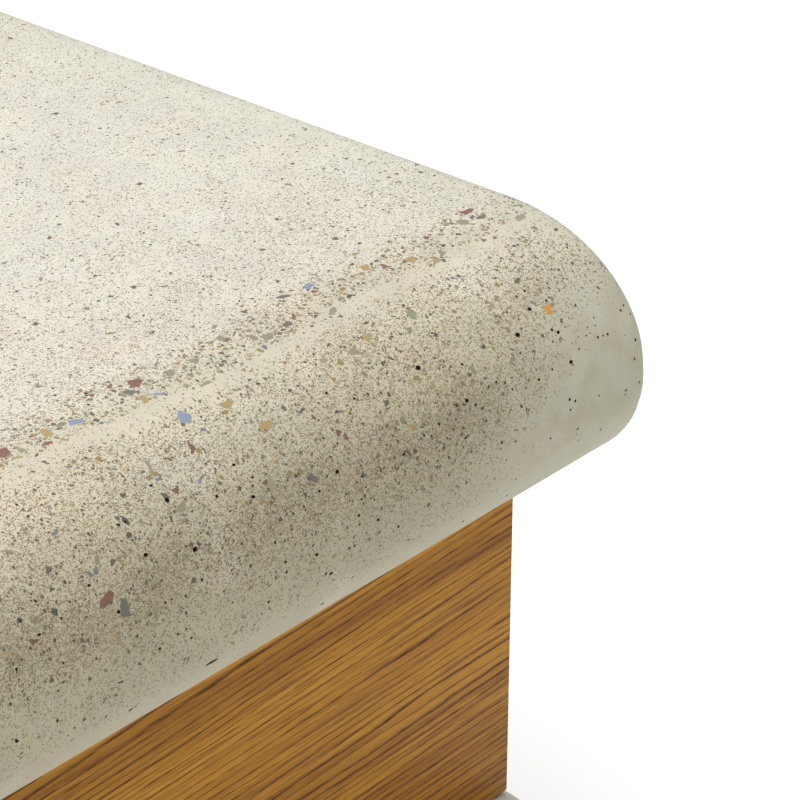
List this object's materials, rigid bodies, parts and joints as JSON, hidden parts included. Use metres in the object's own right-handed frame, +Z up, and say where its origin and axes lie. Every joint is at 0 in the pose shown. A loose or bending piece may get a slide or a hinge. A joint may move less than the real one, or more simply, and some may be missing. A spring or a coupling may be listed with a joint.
{
  "type": "backless bench",
  "caption": "Backless street bench: a bull-nosed cast concrete seat slab and matching base slab tied together around an oak-clad steel core, on glides and levelling feet.",
  "frame": {"origin": "on the ground under the middle of the bench", "axes": "+X along the bench's length, +Z up, -Y towards the front long edge"},
  "size_m": [1.8, 0.54, 0.45],
  "materials": {
    "cast_concrete": "pale fine-aggregate concrete, lightly ground on top, smooth from the mould on the nose",
    "oiled_oak": "planed and oiled, open grain",
    "galvanised_steel": "hot-dip galvanised, dull",
    "stainless_steel": "turned, satin",
    "rubber": "moulded, matt"
  },
  "bodies": {
    "bench": {"arm_screw_left_front": "stainless_steel", "arm_screw_left_rear": "stainless_steel", "arm_screw_right_front": "stainless_steel", "arm_screw_right_rear": "stainless_steel", "base_slab": "cast_concrete", "bearing_pad_left": "rubber", "bearing_pad_right": "rubber", "corner_block_left_front": "oiled_oak", "corner_block_left_rear": "oiled_oak", "corner_block_right_front": "oiled_oak", "corner_block_right_rear": "oiled_oak", "end_screw_left_front": "stainless_steel", "end_screw_left_rear": "stainless_steel", "end_screw_right_front": "stainless_steel", "end_screw_right_rear": "stainless_steel", "foot_socket_left_front": "stainless_steel", "foot_socket_left_rear": "stainless_steel", "foot_socket_right_front": "stainless_steel", "foot_socket_right_rear": "stainless_steel", "glide_left_front": "rubber", "glide_left_rear": "rubber", "glide_right_front": "rubber", "glide_right_rear": "rubber", "oak_front": "oiled_oak", "oak_left": "oiled_oak", "oak_rear": "oiled_oak", "oak_right": "oiled_oak", "pedestal_left": "galvanised_steel", "pedestal_right": "galvanised_steel", "seat_slab": "cast_concrete", "side_screw_left_front": "stainless_steel", "side_screw_left_rear": "stainless_steel", "side_screw_right_front": "stainless_steel", "side_screw_right_rear": "stainless_steel", "tie_nut_left_front": "stainless_steel", "tie_nut_left_rear": "stainless_steel", "tie_nut_right_front": "stainless_steel", "tie_nut_right_rear": "stainless_steel", "tie_rod_left_front": "stainless_steel", "tie_rod_left_rear": "stainless_steel", "tie_rod_right_front": "stainless_steel", "tie_rod_right_rear": "stainless_steel", "tie_socket_left_front": "stainless_steel", "tie_socket_left_rear": "stainless_steel", "tie_socket_right_front": "stainless_steel", "tie_socket_right_rear": "stainless_steel", "tie_washer_left_front": "stainless_steel", "tie_washer_left_rear": "stainless_steel", "tie_washer_right_front": "stainless_steel", "tie_washer_right_rear": "stainless_steel"},
    "pad_left_front": {"foot_pad_left_front": "galvanised_steel"},
    "stud_left_front": {"foot_stud_left_front": "stainless_steel"},
    "pad_left_rear": {"foot_pad_left_rear": "galvanised_steel"},
    "stud_left_rear": {"foot_stud_left_rear": "stainless_steel"},
    "pad_right_front": {"foot_pad_right_front": "galvanised_steel"},
    "stud_right_front": {"foot_stud_right_front": "stainless_steel"},
    "pad_right_rear": {"foot_pad_right_rear": "galvanised_steel"},
    "stud_right_rear": {"foot_stud_right_rear": "stainless_steel"}
  },
  "joints": [
    {"name": "travel_left_front", "type": "slide", "parent": "bench", "child": "pad_left_front", "axis": [0, 0, -1], "range_m": [0, 0.024]},
    {"name": "turn_left_front", "type": "hinge", "parent": "pad_left_front", "child": "stud_left_front", "pos_m": [-0.72, -0.14, 0.0255], "axis": [0, 0, -1], "range_deg": [0, 4326]},
    {"name": "travel_left_rear", "type": "slide", "parent": "bench", "child": "pad_left_rear", "axis": [0, 0, -1], "range_m": [0, 0.024]},
    {"name": "turn_left_rear", "type": "hinge", "parent": "pad_left_rear", "child": "stud_left_rear", "pos_m": [-0.72, 0.14, 0.0255], "axis": [0, 0, -1], "range_deg": [0, 4326]},
    {"name": "travel_right_front", "type": "slide", "parent": "bench", "child": "pad_right_front", "axis": [0, 0, -1], "range_m": [0, 0.024]},
    {"name": "turn_right_front", "type": "hinge", "parent": "pad_right_front", "child": "stud_right_front", "pos_m": [0.72, -0.14, 0.0255], "axis": [0, 0, -1], "range_deg": [0, 4326]},
    {"name": "travel_right_rear", "type": "slide", "parent": "bench", "child": "pad_right_rear", "axis": [0, 0, -1], "range_m": [0, 0.024]},
    {"name": "turn_right_rear", "type": "hinge", "parent": "pad_right_rear", "child": "stud_right_rear", "pos_m": [0.72, 0.14, 0.0255], "axis": [0, 0, -1], "range_deg": [0, 4326]}
  ],
  "couplings": [
    {"joint": "turn_left_front", "follows": "travel_left_front", "rad_per_m": 3141.6},
    {"joint": "turn_left_rear", "follows": "travel_left_rear", "rad_per_m": 3141.6},
    {"joint": "turn_right_front", "follows": "travel_right_front", "rad_per_m": 3141.6},
    {"joint": "turn_right_rear", "follows": "travel_right_rear", "rad_per_m": 3141.6}
  ]
}
